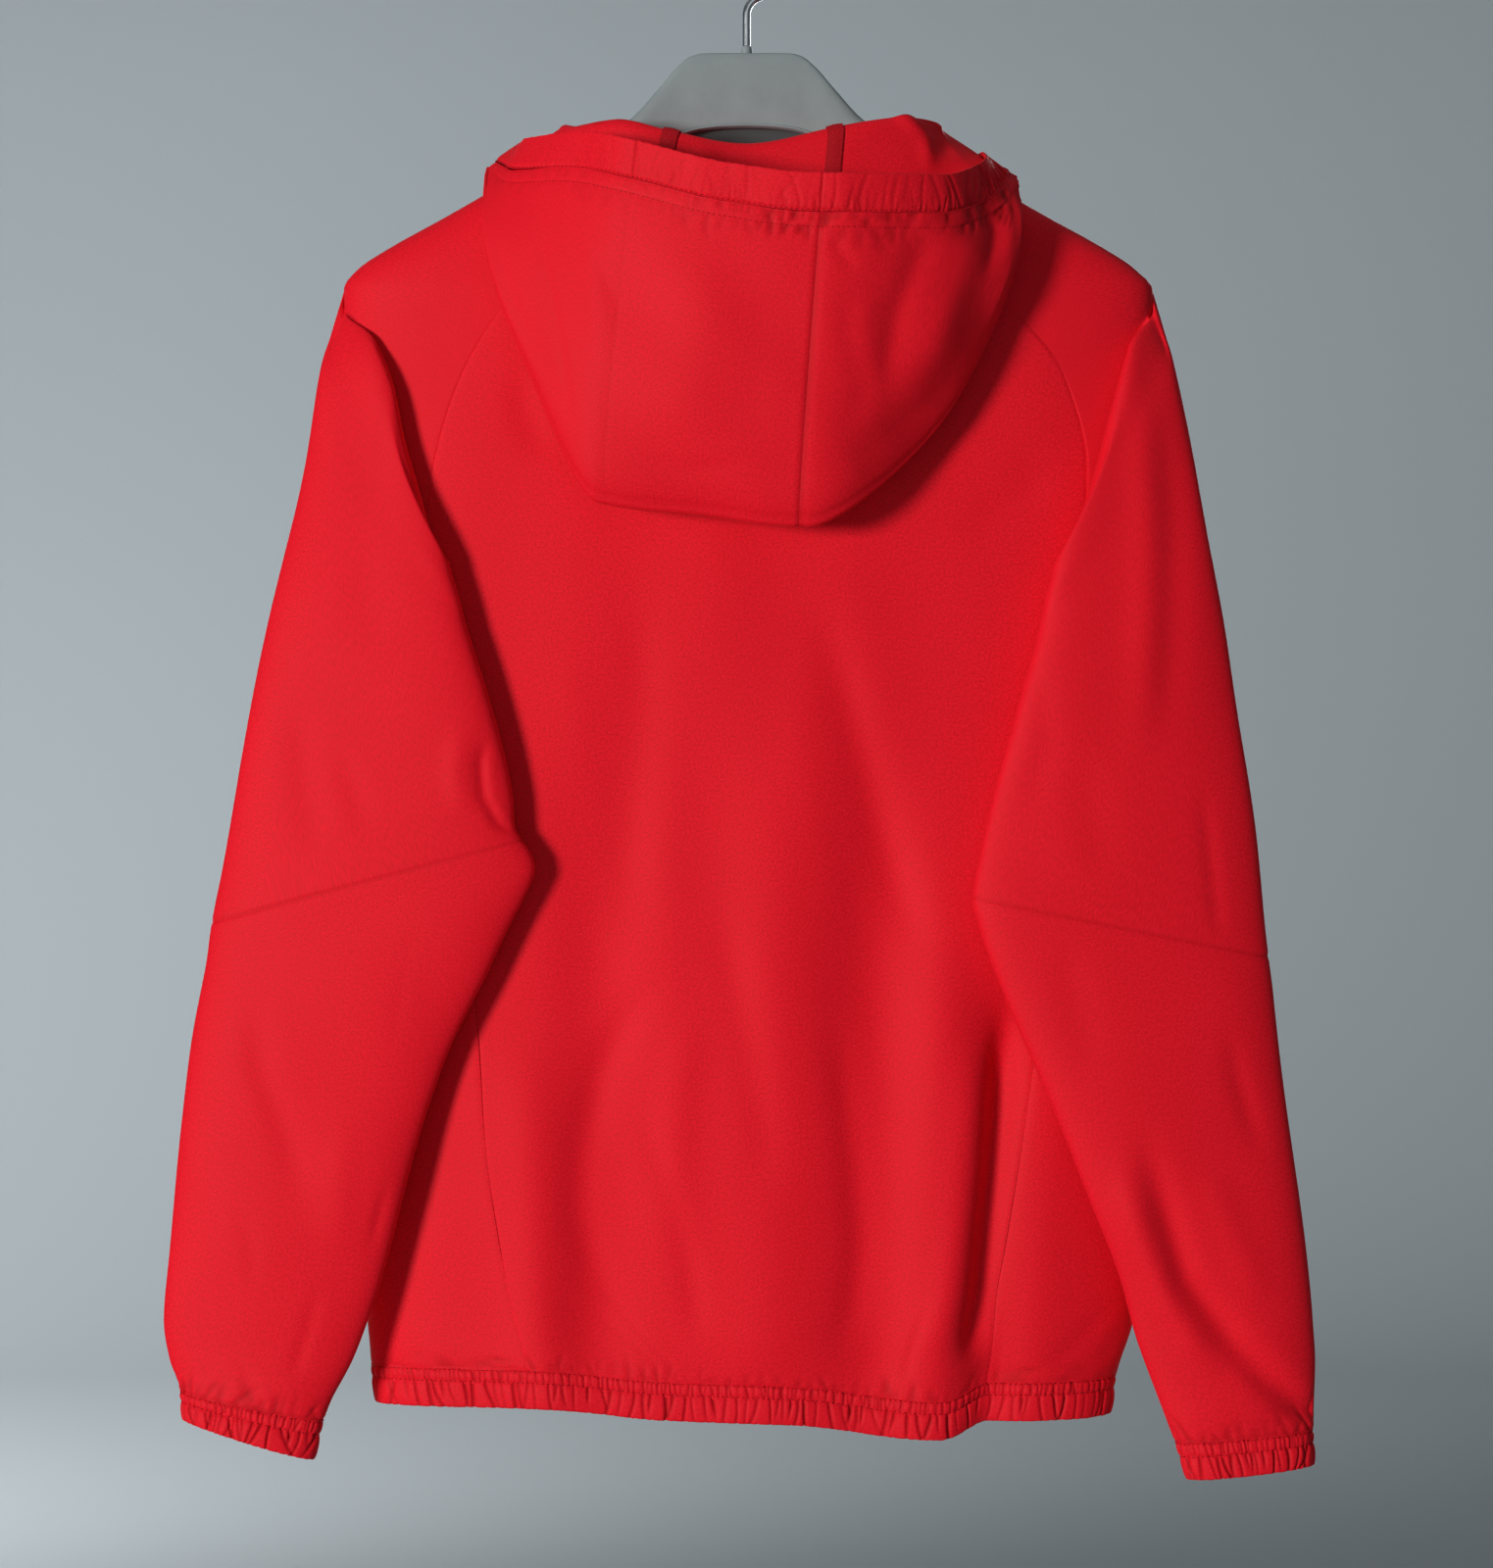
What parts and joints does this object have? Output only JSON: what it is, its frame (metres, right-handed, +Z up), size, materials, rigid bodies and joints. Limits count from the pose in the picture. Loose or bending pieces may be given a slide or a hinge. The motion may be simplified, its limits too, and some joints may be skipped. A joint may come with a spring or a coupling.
{
  "type": "hooded windbreaker jacket on a hanger",
  "caption": "Unlined hooded windbreaker with raglan sleeves, elastic cuffs, hem and hood edge and a front zip, hung on a wide-shoulder plastic hanger with a steel hook.",
  "frame": {"origin": "inner top of the hook's crook, where the rail bears", "axes": "+Z up, along the hanging garment; the garment's back faces -Y and its front +Y; +X is the wearer's right"},
  "size_m": [0.6372, 0.1632, 0.8619],
  "materials": {
    "shell": "plain woven synthetic with a slight sheen, red",
    "zip_tape": "matte woven tape, darker red",
    "zip_metal": "plated, satin",
    "hanger_plastic": "moulded, matte grey",
    "hook_steel": "bright plated wire"
  },
  "bodies": {
    "jacket": {"back_panel": "shell", "front_left": "shell", "front_right": "shell", "hem_band": "shell", "sleeve_upper_left": "shell", "sleeve_upper_right": "shell", "sleeve_lower_left": "shell", "sleeve_lower_right": "shell", "cuff_left": "shell", "cuff_right": "shell", "hood_left": "shell", "hood_center": "shell", "hood_right": "shell", "hood_hem": "shell", "zip_tape_left": "zip_tape", "zip_tape_right": "zip_tape", "zip_slider": "zip_metal", "hanger_body": "hanger_plastic", "hanger_hook": "hook_steel"},
    "pull_tab": {"zip_pull_tab": "zip_metal"}
  },
  "joints": [
    {"name": "pull_tab_swing", "type": "hinge", "parent": "jacket", "child": "pull_tab", "pos_m": [0, 0.04004, -0.17631], "axis": [1, 0, 0], "range_deg": [0, 165]}
  ]
}
